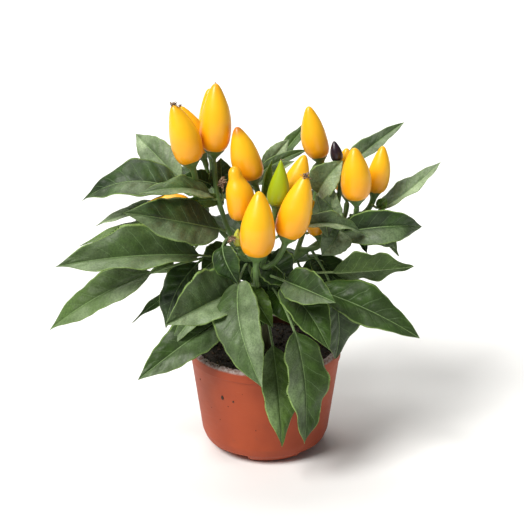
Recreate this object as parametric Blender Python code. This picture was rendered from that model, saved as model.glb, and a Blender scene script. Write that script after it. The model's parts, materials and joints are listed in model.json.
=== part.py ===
"""A potted ornamental chilli pepper plant in fruit, standing in a round grower's pot.

Metres, +Z up. The origin is the middle of the pot's underside, on the ground, and -Y is the plant's
front. The shapes below are worked out in millimetres and scaled as each mesh is made.
"""

import math

import bmesh
import bpy
from mathutils import Matrix, Vector
from mathutils.bvhtree import BVHTree

MM = 0.001
GAP = 0.3  # between pieces that touch on the real plant

# Pot, soil and trunk
POT_HEIGHT = 75.0
RIM_RADIUS = 52.5
RIM_BAND = 8.0  # height of the band round the top
RIM_STEP = 0.7  # how far the band stands out from the wall
MOUTH_RADIUS = 48.2
WALL_LOW_RADIUS = 44.4  # outside, at WALL_LOW_HEIGHT, where the wall turns in to the foot
WALL_LOW_HEIGHT = 13.0
FOOT_RADIUS = 33.0
FLOOR_TOP = 9.0
INNER_LOW_RADIUS = 42.0
POT_SIDES = 60
FOOT_COUNT = 4
CHANNEL_HEIGHT = 7.0
CHANNEL_ANGLE = 38.0  # degrees, of the gap between two feet
CHANNEL_START = 15.0  # radius of the flat pad in the middle of the underside
FIRST_CHANNEL = -126.0  # degrees, the direction of the gap at the front left
DRAIN_RADIUS = 3.5
DRAIN_CIRCLE = 24.0
SOIL_TOP = 70.0
SOCKET_DEPTH = 13.0  # how deep the trunk stands in the soil
TRUNK_RADIUS = 3.6

# Fruit: how wide a pod is, as a share of its full radius, from its base to near its tip
POD_PROFILE = ((0.0, 0.50), (0.05, 0.78), (0.15, 0.94), (0.30, 1.0), (0.48, 0.93), (0.66, 0.76),
               (0.82, 0.52), (0.93, 0.29))
POD_SIDES = 10
CALYX_HEIGHT = 4.0
STALK_RADIUS = 1.7
STEM_SIDES = 7

# Leaf: places along the blade, from its base to near its tip
BLADE_PLACES = (0.07, 0.20, 0.36, 0.52, 0.68, 0.82, 0.93)
PETIOLE_RADIUS = 0.9
LEAF_START = 1.4  # gap from the branch's surface to the middle of the petiole's end
FOLD = 0.2  # rise of a blade's edge above its midrib, as a share of its half width
CLEARANCE = 0.9  # kept around a leaf when room is made for it

# Branches: the branch each grows from and how far along, its two radii, and the points it runs through
BRANCHES = {
    "trunk": (None, 3.6, 2.9, ((0, 0, 58), (0, -1, 84), (-2, -8, 106), (-4, -15, 124))),
    "left": ("trunk", 2.5, 1.7, ((-4, -15, 124), (-14, -14, 143), (-25, -10, 162), (-32, -5, 184))),
    "left_back": ("left", 2.1, 1.6, ((-14, -14, 143), (-28, -2, 156), (-42, 6, 170), (-49, 5, 184))),
    "centre": ("trunk", 2.4, 1.7, ((-4, -15, 124), (-2, -21, 140), (1, -22, 156), (2, -19, 170))),
    "right": ("trunk", 2.5, 1.6, ((-4, -15, 124), (11, -9, 134), (34, 2, 147), (60, 12, 164))),
    "right_back": ("right", 2.0, 1.5, ((20, -5, 140), (27, 9, 156), (33, 19, 170), (35, 22, 182))),
    "back": ("trunk", 2.3, 1.5, ((-1, -5, 99), (-4, 12, 122), (-7, 28, 150), (-10, 43, 178))),
}

# Pods: branch, place along it, base, tip, diameter and colour
PODS = {
    "pod_left_tall": ("left", 1.0, (-34, -2, 215), (-32.5, -2, 261), 22, "ripe"),
    "pod_left_rear": ("left", 0.82, (-37, 33, 203), (-38, 34, 248), 19, "ripe"),
    "pod_far_left": ("left_back", 1.0, (-49, -15, 211), (-60, -15, 250), 21, "ripe"),
    "pod_far_left_rear": ("left_back", 0.86, (-43, 14, 208), (-57, 14, 241), 19, "ripe"),
    "pod_left_lying": ("left_back", 0.62, (-50, -10, 178), (-84, -15, 178), 18, "ripe"),
    "pod_centre_rear": ("centre", 1.0, (-8, -10, 198), (-19, -11, 234), 20, "ripe"),
    "pod_centre_left": ("centre", 0.72, (-15, -27, 176), (-21, -27, 212), 19, "ripe"),
    "pod_front": ("centre", 0.03, (-6, -48, 158), (-4, -48, 202), 23.5, "ripe"),
    "pod_front_right": ("centre", 0.3, (14, -38, 167), (26, -37, 209), 22, "ripe"),
    "pod_green": ("centre", 0.86, (7, -26, 185), (10, -26, 216), 15, "green"),
    "pod_centre_right": ("centre", 0.94, (14, -11, 176), (26, -8, 214), 19, "ripe"),
    "pod_right_rear": ("right_back", 1.0, (37, 25, 202), (29, 25, 238), 18, "ripe"),
    "pod_dark": ("right", 0.7, (49, 10, 204), (46, 10, 218), 8.5, "dark"),
    "pod_right": ("right", 1.0, (61, -2, 181), (59, -2, 217), 21, "ripe"),
    "pod_right_inner": ("right", 0.9, (56, 22, 177), (55, 20, 210), 17, "ripe"),
    "pod_far_right": ("right", 0.96, (75, 22, 178), (80, 22, 211), 16, "ripe"),
    "pod_hidden_right": ("right_back", 0.1, (36, -3, 156), (29, -1, 182), 14, "ripe"),
    "pod_young": ("centre", 0.5, (-18, -36, 160), (-18, -36, 172), 6, "young"),
}

# Leaves: branch, place along it, petiole's length, tip, width, arch of the midrib, and the way the
# upper face looks
LEAVES = {
    "leaf_left_mid": ("left", 0.68, 3, (-91, -55, 190), 34, 2, (-0.1, -1, 0.8)),
    "leaf_left_long": ("left", 0.36, 27, (-138, -45, 149), 37, 8, (0, -0.6, 1)),
    "leaf_left_upper": ("left_back", 0.97, 5, (-125, 10, 176), 40, 11, (0, -0.8, 1)),
    "leaf_front_left": ("left", 0.08, 14, (-65, -70, 118), 36, 1, (-0.1, -1, 0.7)),
    "leaf_front": ("left", 0.28, 16, (-2, -85, 80), 33, 20, (-0.9, -0.9, 0.4)),
    "leaf_front_low": ("centre", 0.04, 42, (11, -80, 35), 25, 14, (0.3, -1, 0.2)),
    "leaf_front_low_right": ("right", 0.12, 38, (26, -76, 35), 34, 19, (0.6, -1, 0.2)),
    "leaf_front_right": ("centre", 0.3, 20, (45, -70, 134), 26, 3, (0.1, -1, 0.6)),
    "leaf_right_long": ("right", 0.15, 28, (103, -45, 98), 32, 9, (0.1, -0.7, 1)),
    "leaf_left_low": ("left_back", 0.12, 55, (-147, -25, 95), 27, 20, (-0.3, -0.8, 0.8)),
    "leaf_front_left_low": ("trunk", 0.86, 20, (-85, -60, 74), 31, 5, (-0.2, -0.9, 0.8)),
    "leaf_left_high": ("left", 0.98, 3, (-82, -38, 197), 22, 8, (0, -0.6, 1)),
    "leaf_front_right_low": ("right", 0.2, 12, (42, -62, 97), 30, 8, (0.5, -1, 0.5)),
    "leaf_right_mid": ("centre", 0.22, 44, (100, -15, 138), 31, -2, (0.1, 0.9, 0.5)),
    "leaf_right_upper": ("right", 0.84, 4, (107, 5, 159), 24, 17, (0, -0.6, 1)),
    "leaf_right_high": ("right", 0.86, 31, (121, 35, 196), 21, 3, (-0.2, -0.3, 1)),
    "leaf_right_back": ("right_back", 0.9, 20, (99, 75, 213), 16, 2, (-0.3, -0.5, 1)),
    "leaf_left_back": ("left_back", 0.98, 10, (-91, 55, 210), 24, 5, (-0.2, -1, 0.6)),
    "leaf_left_rear": ("left_back", 0.7, 14, (-117, 15, 156), 16, 7, (0, -0.4, 1)),
    "leaf_left_inner": ("left_back", 0.42, 16, (-128, 5, 145), 20, 7, (0, -0.3, 1)),
    "leaf_left_small": ("left_back", 0.1, 20, (-92, -10, 94), 11, 6, (-0.8, -0.5, 0.6)),
    "leaf_left_hanging": ("left_back", 0.2, 20, (-68, -22, 95), 25, 18, (-1, -0.9, 0.3)),
    "leaf_centre_right": ("right_back", 0.75, 8, (52, 5, 206), 22, 4, (-0.3, -0.9, 0.5)),
    "leaf_centre_level": ("centre", 0.75, 20, (66, -14, 161), 15, 14, (0, -0.6, 1)),
    "leaf_right_hanging": ("right", 0.62, 20, (48, -22, 72), 36, 16, (0.45, -1, 0.35)),
    "leaf_right_small": ("right", 0.78, 26, (93, 42, 138), 13, 3, (0.3, -0.5, 1)),
    "leaf_right_inner": ("right", 0.92, 4, (37, -10, 142), 22, 4, (0.3, -1, 0.7)),
    "leaf_centre_hanging": ("left", 0.6, 12, (-17, -38, 134), 20, 6, (-0.3, -1, 0.4)),
    "leaf_crown_right": ("back", 1.0, 8, (17, 62, 204), 14, 4, (0.1, -0.9, 0.7)),
    "leaf_crown_back": ("back", 0.96, 14, (34, 88, 213), 12, 4, (-0.2, -0.6, 1)),
    "leaf_crown_upright": ("centre", 1.0, 10, (1, -15, 213), 11, 2, (1, -0.3, 0)),
    "leaf_crown_left": ("left", 0.92, 6, (-30, 12, 206), 20, 3, (0.3, -1, 0.3)),
    "leaf_back_low_left": ("back", 0.12, 20, (-72, 58, 100), 32, 14, (-0.2, 0.3, 1)),
    "leaf_back_low_right": ("back", 0.22, 20, (40, 88, 98), 34, 14, (0.2, 0.4, 1)),
    "leaf_back_left": ("back", 0.45, 18, (-50, 100, 130), 34, 12, (-0.2, 0.3, 1)),
    "leaf_back_right": ("back", 0.55, 18, (62, 98, 150), 32, 12, (0.2, 0.3, 1)),
    "leaf_back_high_left": ("back", 0.75, 16, (-78, 84, 176), 30, 10, (-0.2, 0.2, 1)),
    "leaf_back_far_right": ("right_back", 0.3, 20, (98, 72, 112), 32, 14, (0.3, 0.3, 1)),
    "leaf_back_far_left": ("left_back", 0.5, 20, (-112, 62, 118), 32, 14, (-0.3, 0.3, 1)),
}

COLOURS = {
    "terracotta": ((0.42, 0.11, 0.05), 0.45),
    "soil": ((0.03, 0.02, 0.013), 0.95),
    "stem": ((0.12, 0.22, 0.05), 0.5),
    "leaf": ((0.035, 0.10, 0.03), 0.45),
    "ripe": ((0.95, 0.50, 0.02), 0.2),
    "green": ((0.28, 0.42, 0.02), 0.2),
    "young": ((0.50, 0.50, 0.06), 0.25),
    "dark": ((0.02, 0.008, 0.015), 0.2),
}


def clear_scene():
    for obj in list(bpy.data.objects):
        bpy.data.objects.remove(obj, do_unlink=True)


def material(name):
    found = bpy.data.materials.get(name)
    if found:
        return found
    colour, roughness = COLOURS[name]
    made = bpy.data.materials.new(name)
    made.use_nodes = True
    shader = made.node_tree.nodes["Principled BSDF"]
    shader.inputs["Base Color"].default_value = (*colour, 1.0)
    shader.inputs["Roughness"].default_value = roughness
    return made


def add_object(name, points, faces, material_name):
    """An object from points in millimetres, shaded smooth."""
    mesh = bpy.data.meshes.new(name)
    mesh.from_pydata([Vector(p) * MM for p in points], [], faces)
    mesh.materials.append(material(material_name))
    mesh.shade_smooth()
    mesh.set_sharp_from_angle(angle=math.radians(50))
    obj = bpy.data.objects.new(name, mesh)
    bpy.context.scene.collection.objects.link(obj)
    return obj


def as_cutter(obj):
    obj.hide_render = True
    obj.display_type = "WIRE"
    return obj


def boolean(target, other, operation):
    modifier = target.modifiers.new(other.name, "BOOLEAN")
    modifier.operation = operation
    modifier.object = other


def apply_modifiers(obj):
    """Replaces the object's mesh with what its modifiers make of it."""
    graph = bpy.context.evaluated_depsgraph_get()
    made = bpy.data.meshes.new_from_object(obj.evaluated_get(graph))
    obj.modifiers.clear()
    obj.data = made


# Lofts: a closed body through rings of points, with a flat start and a point or a flat end.


def loft(rings, tip=None):
    sides = len(rings[0])
    points = [p for ring in rings for p in ring]
    faces = [tuple(range(sides))[::-1]]
    for i in range(len(rings) - 1):
        for j in range(sides):
            k = (j + 1) % sides
            faces.append((i * sides + j, i * sides + k, (i + 1) * sides + k, (i + 1) * sides + j))
    last = (len(rings) - 1) * sides
    if tip is None:
        faces.append(tuple(last + j for j in range(sides)))
    else:
        points.append(tip)
        faces += [(last + j, last + (j + 1) % sides, len(points) - 1) for j in range(sides)]
    return points, faces


def circle(centre, direction, radius, sides):
    """Points round a centre, anticlockwise seen against the direction."""
    turn = Vector(direction).to_track_quat("Z", "Y")
    steps = [math.tau * i / sides for i in range(sides)]
    return [centre + turn @ Vector((math.cos(a), math.sin(a), 0)) * radius for a in steps]


def curve_point(points, share):
    """The place a share of the way along a smooth curve through the points."""
    points = [Vector(p) for p in points]
    spans = len(points) - 1
    span = min(int(share * spans), spans - 1)
    t = share * spans - span
    before = points[span - 1] if span else 2 * points[0] - points[1]
    after = points[span + 2] if span + 2 <= spans else 2 * points[-1] - points[-2]
    start, end = points[span], points[span + 1]
    pull = (end - before, after - start)
    return (
        start * (2 * t**3 - 3 * t**2 + 1)
        + end * (3 * t**2 - 2 * t**3)
        + pull[0] * 0.5 * (t**3 - 2 * t**2 + t)
        + pull[1] * 0.5 * (t**3 - t**2)
    )


def bezier(start, control, end, t):
    return start * (1 - t) ** 2 + control * 2 * t * (1 - t) + end * t**2


# Pot and soil


def turned(name, profile, sides, material_name):
    """A closed ring-shaped or solid body turned about Z, from (radius, height) points down its outer side."""
    bm = bmesh.new()
    verts = [bm.verts.new((radius * MM, 0, height * MM)) for radius, height in profile]
    edges = [bm.edges.new((verts[i - 1], verts[i])) for i in range(len(verts))]
    edges = [e for e in edges if not all(v.co.x == 0 for v in e.verts)]
    bmesh.ops.spin(bm, geom=verts + edges, cent=(0, 0, 0), axis=(0, 0, 1), angle=math.tau, steps=sides,
                   use_merge=True)
    bmesh.ops.remove_doubles(bm, verts=bm.verts, dist=1e-6)
    bmesh.ops.recalc_face_normals(bm, faces=bm.faces)
    mesh = bpy.data.meshes.new(name)
    bm.to_mesh(mesh)
    bm.free()
    mesh.materials.append(material(material_name))
    mesh.shade_smooth()
    mesh.set_sharp_from_angle(angle=math.radians(30))
    obj = bpy.data.objects.new(name, mesh)
    bpy.context.scene.collection.objects.link(obj)
    return obj


def make_pot():
    under_band = POT_HEIGHT - RIM_BAND
    wall_top = RIM_RADIUS - RIM_STEP
    profile = [
        (0, FLOOR_TOP), (INNER_LOW_RADIUS - 5, FLOOR_TOP), (INNER_LOW_RADIUS, FLOOR_TOP + 6),
        (MOUTH_RADIUS, under_band), (MOUTH_RADIUS, POT_HEIGHT - 0.8), (MOUTH_RADIUS + 0.8, POT_HEIGHT),
        (RIM_RADIUS - 0.8, POT_HEIGHT), (RIM_RADIUS, POT_HEIGHT - 0.8), (RIM_RADIUS, under_band),
        (wall_top, under_band - 0.5), (WALL_LOW_RADIUS, WALL_LOW_HEIGHT),
        (WALL_LOW_RADIUS - 2.2, WALL_LOW_HEIGHT - 5.5), (WALL_LOW_RADIUS - 6, WALL_LOW_HEIGHT - 9.5),
        (FOOT_RADIUS + 1.5, 0.8), (FOOT_RADIUS, 0), (0, 0),
    ]
    pot = turned("pot", profile, POT_SIDES, "terracotta")
    for i in range(FOOT_COUNT):
        angle = math.radians(FIRST_CHANNEL + i * 360 / FOOT_COUNT)
        boolean(pot, channel_cutter(i, angle), "DIFFERENCE")
        boolean(pot, drain_cutter(i, angle), "DIFFERENCE")
    apply_modifiers(pot)
    pot.data.set_sharp_from_angle(angle=math.radians(30))
    for i in range(FOOT_COUNT):
        for kind in ("channel", "drain"):
            bpy.data.objects.remove(bpy.data.objects[f"{kind}_cutter_{i}"], do_unlink=True)
    return pot


def channel_cutter(i, angle):
    half = math.radians(CHANNEL_ANGLE / 2)
    reach = RIM_RADIUS
    corners = [(CHANNEL_START, -half), (reach, -half), (reach, half), (CHANNEL_START, half)]
    flat = [(r * math.cos(angle + a), r * math.sin(angle + a)) for r, a in corners]
    low = [(x, y, -1.0) for x, y in flat]
    high = [(x, y, CHANNEL_HEIGHT) for x, y in flat]
    return as_cutter(add_object(f"channel_cutter_{i}", *loft([low, high]), "terracotta"))


def drain_cutter(i, angle):
    centre = Vector((DRAIN_CIRCLE * math.cos(angle), DRAIN_CIRCLE * math.sin(angle), -1))
    up = Vector((0, 0, 1))
    rings = [circle(centre, up, DRAIN_RADIUS, 12), circle(centre + up * (FLOOR_TOP + 2), up, DRAIN_RADIUS, 12)]
    return as_cutter(add_object(f"drain_cutter_{i}", *loft(rings), "terracotta"))


def make_soil():
    socket = TRUNK_RADIUS + GAP
    floor = FLOOR_TOP + GAP
    slope = (MOUTH_RADIUS - INNER_LOW_RADIUS) / (POT_HEIGHT - RIM_BAND - FLOOR_TOP - 6)
    under_band = POT_HEIGHT - RIM_BAND
    profile = [
        (socket, SOIL_TOP - SOCKET_DEPTH), (socket, SOIL_TOP), (MOUTH_RADIUS - GAP - 0.5, SOIL_TOP),
        (MOUTH_RADIUS - GAP, SOIL_TOP - 1), (MOUTH_RADIUS - GAP, under_band),
        (INNER_LOW_RADIUS - GAP * (1 + slope), FLOOR_TOP + 6), (INNER_LOW_RADIUS - 5 - GAP, floor), (0, floor),
        (0, SOIL_TOP - SOCKET_DEPTH),
    ]
    return turned("potting_soil", profile[::-1], POT_SIDES, "soil")


# Stem: the trunk, branches, fruit stalks and calyces, which grew as one piece


def branch_place(branch, share):
    """(point, direction, radius) a share of the way along a branch."""
    _, first, last, points = BRANCHES[branch]
    point = curve_point(points, share)
    behind, ahead = max(share - 0.02, 0), min(share + 0.02, 1)
    direction = (curve_point(points, ahead) - curve_point(points, behind)).normalized()
    return point, direction, first + (last - first) * share


def branch_tube(name):
    _, first, last, points = BRANCHES[name]
    count = 3 * (len(points) - 1)
    rings = []
    for i in range(count + 1):
        place, direction, radius = branch_place(name, i / count)
        rings.append(circle(place, direction, radius, STEM_SIDES))
    return add_object(name, *loft(rings), "stem")


def stalk_tube(name):
    """A pod's stalk, from inside its branch, curving to the pod's axis and widening into the calyx."""
    branch, share, base, tip, diameter, _ = PODS[name]
    start = branch_place(branch, share)[0]
    base = Vector(base)
    axis = (Vector(tip) - base).normalized()
    calyx = min(CALYX_HEIGHT, diameter * 0.25)
    foot = base - axis * (calyx + GAP)
    control = foot - axis * (foot - start).length * 0.5
    rings = []
    for i in range(6):
        t = i / 6
        ahead = bezier(start, control, foot, t + 0.02) - bezier(start, control, foot, t)
        rings.append(circle(bezier(start, control, foot, t), ahead, STALK_RADIUS * (1 + 0.35 * t), STEM_SIDES))
    mouth = diameter / 2 * POD_PROFILE[0][1]
    rings.append(circle(foot, axis, STALK_RADIUS * 1.45, STEM_SIDES))
    rings.append(circle(foot + axis * calyx * 0.5, axis, mouth * 0.85, STEM_SIDES))
    rings.append(circle(foot + axis * calyx, axis, mouth, STEM_SIDES))
    return add_object(f"{name}_stalk", *loft(rings), "stem")


def make_stem():
    stem = branch_tube("trunk")
    stem.name = "stem"
    parts = [branch_tube(name) for name in BRANCHES if name != "trunk"]
    parts += [stalk_tube(name) for name in PODS]
    for part in parts:
        boolean(stem, as_cutter(part), "UNION")
    apply_modifiers(stem)
    for part in parts:
        bpy.data.objects.remove(part, do_unlink=True)
    stem.data.set_sharp_from_angle(angle=math.radians(50))
    return stem


# Pods


def make_pod(name):
    _, _, base, tip, diameter, colour = PODS[name]
    base, tip = Vector(base), Vector(tip)
    axis = tip - base
    rings = [circle(base + axis * s, axis, diameter / 2 * share, POD_SIDES) for s, share in POD_PROFILE]
    return add_object(name, *loft(rings, tip), colour)


# Leaves


def blade_half_width(place):
    """Half the width of a blade at a place from 0 at its base to 1 at its tip, as a share of the widest."""
    rise, fall = 0.85, 1.15
    peak = rise / (rise + fall)
    return (place / peak) ** rise * ((1 - place) / (1 - peak)) ** fall


def leaf_body(start, petiole_length, tip, width, arch, face, room=0.0):
    """Points and faces of a leaf; room swells it, to test what is near."""
    face = Vector(face)
    chord = tip - start
    bulge = (face - chord * face.dot(chord) / chord.length_squared).normalized()
    control = (start + tip) / 2 + bulge * arch * 2
    stalk = petiole_length / chord.length
    petiole = [(0.0, 0.0), (stalk / 2, 0.0), (stalk, 0.0)]
    blade = [(stalk + u * (1 - stalk), blade_half_width(u)) for u in BLADE_PLACES]
    rings = []
    for t, share in petiole + blade:
        middle = bezier(start, control, tip, t)
        along = (bezier(start, control, tip, t + 0.01) - bezier(start, control, tip, t - 0.01)).normalized()
        up = (face - along * face.dot(along)).normalized()
        side = up.cross(along)
        half = max(PETIOLE_RADIUS, share * width / 2) + room
        rise = FOLD * (half - PETIOLE_RADIUS)
        top = room + 0.65 + 0.03 * half
        rings.append([
            middle + side * half + up * rise,
            middle + side * half * 0.55 + up * (rise * 0.5 + top),
            middle + up * (0.5 + room),
            middle - side * half * 0.55 + up * (rise * 0.5 + top),
            middle - side * half + up * rise,
            middle - up * (PETIOLE_RADIUS + room),
        ])
    return loft(rings, tip)


def tree_of(points, faces):
    return BVHTree.FromPolygons([tuple(p) for p in points], faces, all_triangles=False, epsilon=0.0)


def object_tree(obj):
    return tree_of([v.co / MM for v in obj.data.vertices], [tuple(p.vertices) for p in obj.data.polygons])


def nudges():
    """Small changes to a leaf, the smallest first: slide along the branch, turn, arch and lift of the tip."""
    found = []
    for slide in (0.0, 0.05, -0.05):
        for turn in (0, -8, 8, -16, 16, -24, 24, -32, 32):
            for arch in (0, 4, -4, 8, -8):
                for lift in (0, 4, -4, 8, -8, 12, -12):
                    cost = abs(slide) * 80 + abs(turn) * 0.3 + abs(arch) * 0.6 + abs(lift)
                    found.append((cost, slide, turn, arch, lift))
    return sorted(found)


def leaf_start(branch, share, tip):
    """Where a leaf's petiole begins: just off the branch, on the side the leaf points to."""
    place, direction, radius = branch_place(branch, share)
    outward = tip - place
    outward = (outward - direction * outward.dot(direction)).normalized()
    return place + outward * (radius + LEAF_START)


def settled_leaf(name, near, choices):
    """The leaf with the smallest nudge that keeps it clear of every piece near it."""
    branch, share, petiole_length, tip, width, arch, face = LEAVES[name]
    tip, face = Vector(tip), Vector(face).normalized()
    fewest, best = None, None
    for _, slide, turn, more_arch, lift in choices:
        place = min(max(share + slide, 0.02), 1.0)
        moved = tip + face * lift
        start = leaf_start(branch, place, moved)
        turned_face = Matrix.Rotation(math.radians(turn), 3, moved - start) @ face
        shape = (start, petiole_length, moved, width, arch + more_arch, turned_face)
        clashes = clash_count(leaf_body(*shape, room=CLEARANCE), near, fewest)
        if fewest is None or clashes < fewest:
            fewest, best = clashes, shape
        if clashes == 0:
            break
    return leaf_body(*best), fewest


def clash_count(body, near, stop_at):
    tree = tree_of(*body)
    total = 0
    for other in near:
        total += len(tree.overlap(other))
        if stop_at is not None and total >= stop_at:
            break
    return total


def make_leaves(near):
    choices = nudges()
    for name in LEAVES:
        (points, faces), clashes = settled_leaf(name, near, choices)
        if clashes:
            print(f"{name} still touches its neighbours in {clashes} places")
        obj = add_object(name, points, faces, "leaf")
        near.append(object_tree(obj))


def main():
    clear_scene()
    fixed = [make_pot(), make_soil(), make_stem()]
    fixed += [make_pod(name) for name in PODS]
    make_leaves([object_tree(obj) for obj in fixed])


main()
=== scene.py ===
"""The looks of a potted ornamental chilli pepper plant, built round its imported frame.

Metres, +Z up, -Y is the side that the plant shows. Leaves, pods, stem, pot and soil take their places
and sizes from the frame's nodes; crumbs, calyces, withered flowers and young leaves are added here.
"""

import json
import math
import random

import bmesh
import bpy
import numpy as np
from mathutils import Matrix, Vector, noise
from mathutils.bvhtree import BVHTree


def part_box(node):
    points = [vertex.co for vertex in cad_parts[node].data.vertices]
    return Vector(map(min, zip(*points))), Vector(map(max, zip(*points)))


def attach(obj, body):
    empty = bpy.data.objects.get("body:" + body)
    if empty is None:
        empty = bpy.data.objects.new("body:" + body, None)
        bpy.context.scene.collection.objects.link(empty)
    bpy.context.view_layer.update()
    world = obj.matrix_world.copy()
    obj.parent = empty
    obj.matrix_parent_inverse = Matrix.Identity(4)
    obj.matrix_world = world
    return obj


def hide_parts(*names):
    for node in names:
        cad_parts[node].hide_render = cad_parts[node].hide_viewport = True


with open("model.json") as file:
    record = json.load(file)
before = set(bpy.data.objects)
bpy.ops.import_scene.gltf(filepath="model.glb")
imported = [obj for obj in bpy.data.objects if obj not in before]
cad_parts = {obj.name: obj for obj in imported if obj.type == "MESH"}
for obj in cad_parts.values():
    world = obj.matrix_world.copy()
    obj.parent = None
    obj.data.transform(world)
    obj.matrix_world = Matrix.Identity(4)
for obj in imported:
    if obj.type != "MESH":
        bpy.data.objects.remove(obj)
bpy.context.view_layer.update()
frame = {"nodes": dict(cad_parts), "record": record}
NODES = frame["nodes"]
MM = 0.001


# Camera, light and floor

CAMERA_TARGET = Vector((-0.0023, 0.0, 0.135))
CAMERA_DISTANCE = 1.1
CAMERA_ELEVATION = 21.0
CAMERA_LENS = 110.6
WORLD_STRENGTH = 0.17
# Each sun's name, energy, spread in degrees, and the place it shines from towards the origin.
SUNS = (("key_light", 3.9, 28, (-0.95, -0.85, 1.45)), ("top_light", 1.7, 45, (-0.35, 0.85, 1.6)))
SUN_COLOUR = (1.0, 0.985, 0.95)
FLOOR_SIZE = 6.0


def aim(obj, target):
    obj.rotation_euler = (Vector(target) - obj.location).to_track_quat("-Z", "Y").to_euler()


def make_camera():
    data = bpy.data.cameras.new("camera")
    data.lens = CAMERA_LENS
    data.sensor_width = 36.0
    data.clip_end = 20.0
    camera = bpy.data.objects.new("camera", data)
    angle = math.radians(CAMERA_ELEVATION)
    camera.location = CAMERA_TARGET + CAMERA_DISTANCE * Vector((0, -math.cos(angle), math.sin(angle)))
    aim(camera, CAMERA_TARGET)
    bpy.context.scene.collection.objects.link(camera)
    bpy.context.scene.camera = camera


def make_studio():
    world = bpy.data.worlds.new("studio")
    world.use_nodes = True
    background = world.node_tree.nodes["Background"]
    background.inputs["Color"].default_value = (1.0, 1.0, 0.98, 1.0)
    background.inputs["Strength"].default_value = WORLD_STRENGTH
    bpy.context.scene.world = world
    bpy.context.scene.view_settings.view_transform = "Standard"
    for row in SUNS:
        make_sun(*row)


def make_sun(name, energy, spread, location):
    data = bpy.data.lights.new(name, "SUN")
    data.energy = energy
    data.angle = math.radians(spread)
    data.color = SUN_COLOUR
    light = bpy.data.objects.new(name, data)
    light.location = location
    aim(light, (0, 0, 0))
    bpy.context.scene.collection.objects.link(light)


# Procedural materials


class Paint:
    """A material with a Principled shader, and short calls for the nodes that feed it."""

    def __init__(self, name, **values):
        self.material = bpy.data.materials.new(name)
        self.material.use_nodes = True
        self.tree = self.material.node_tree
        self.shader = self.tree.nodes["Principled BSDF"]
        for key, value in values.items():
            self.shader.inputs[key.replace("_", " ")].default_value = value
        self.place = self.node("ShaderNodeTexCoord").outputs["Object"]

    def node(self, kind, **settings):
        made = self.tree.nodes.new(kind)
        for key, value in settings.items():
            setattr(made, key, value)
        return made

    def feed(self, socket, value):
        if isinstance(value, bpy.types.NodeSocket):
            self.tree.links.new(value, socket)
        elif isinstance(value, tuple) and len(value) == 3 and socket.type == "RGBA":
            socket.default_value = (*value, 1.0)
        else:
            socket.default_value = value

    def math(self, operation, first, second=0.0):
        made = self.node("ShaderNodeMath", operation=operation)
        self.feed(made.inputs[0], first)
        self.feed(made.inputs[1], second)
        return made.outputs[0]

    def times(self, first, second):
        return self.math("MULTIPLY", first, second)

    def plus(self, first, second):
        return self.math("ADD", first, second)

    def mix(self, share, first, second):
        made = self.node("ShaderNodeMix", data_type="RGBA")
        self.feed(made.inputs["Factor"], share)
        self.feed(made.inputs[6], first)
        self.feed(made.inputs[7], second)
        return made.outputs[2]

    def attribute(self, name):
        return self.node("ShaderNodeAttribute", attribute_name=name).outputs["Fac"]

    def height_of(self, vector):
        """The Z part of a vector."""
        made = self.node("ShaderNodeSeparateXYZ")
        self.feed(made.inputs["Vector"], vector)
        return made.outputs["Z"]

    def noise(self, scale, detail=3.0, roughness=0.55, place=None):
        made = self.node("ShaderNodeTexNoise")
        self.feed(made.inputs["Vector"], place or self.place)
        made.inputs["Scale"].default_value = scale
        made.inputs["Detail"].default_value = detail
        made.inputs["Roughness"].default_value = roughness
        return made.outputs["Fac"]

    def stretched(self, x, y, z):
        made = self.node("ShaderNodeMapping")
        self.feed(made.inputs["Vector"], self.place)
        made.inputs["Scale"].default_value = (x, y, z)
        return made.outputs["Vector"]

    def step(self, value, low, high, to_low=0.0, to_high=1.0):
        """value from low to high, eased, as to_low to to_high."""
        made = self.node("ShaderNodeMapRange", interpolation_type="SMOOTHSTEP")
        self.feed(made.inputs["Value"], value)
        ends = (high, low, to_high, to_low) if low > high else (low, high, to_low, to_high)
        for key, end in zip(("From Min", "From Max", "To Min", "To Max"), ends):
            made.inputs[key].default_value = end
        return made.outputs["Result"]

    def bump(self, height, strength, distance):
        made = self.node("ShaderNodeBump")
        made.inputs["Strength"].default_value = strength
        made.inputs["Distance"].default_value = distance
        self.feed(made.inputs["Height"], height)
        self.tree.links.new(made.outputs["Normal"], self.shader.inputs["Normal"])

    def finish(self, colour, roughness=None):
        self.feed(self.shader.inputs["Base Color"], colour)
        if roughness is not None:
            self.feed(self.shader.inputs["Roughness"], roughness)
        return self.material


VEIN_PAIRS = 8.0
VEIN_SLANT = 0.17
VEIN_BEND = 0.85
VEIN_LAG = 0.4


def side_veins(paint, across, along):
    """Lines that leave the midrib aslant, one side a little ahead of the other."""
    side = paint.math("ABSOLUTE", across)
    lean = paint.times(paint.math("POWER", side, VEIN_BEND), VEIN_SLANT)
    lag = paint.times(paint.math("GREATER_THAN", across, 0.0), VEIN_LAG)
    turns = paint.times(paint.math("SUBTRACT", along, lean), VEIN_PAIRS)
    wobble = paint.times(paint.noise(110.0, 2.0), 0.35)
    turns = paint.plus(paint.plus(turns, lag), wobble)
    off = paint.math("ABSOLUTE", paint.math("SUBTRACT", paint.math("FRACT", turns), 0.5))
    vein = paint.times(paint.step(off, 0.455, 0.497), paint.step(side, 1.0, 0.5))
    return paint.times(vein, paint.step(along, 0.0, 0.06))


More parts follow.
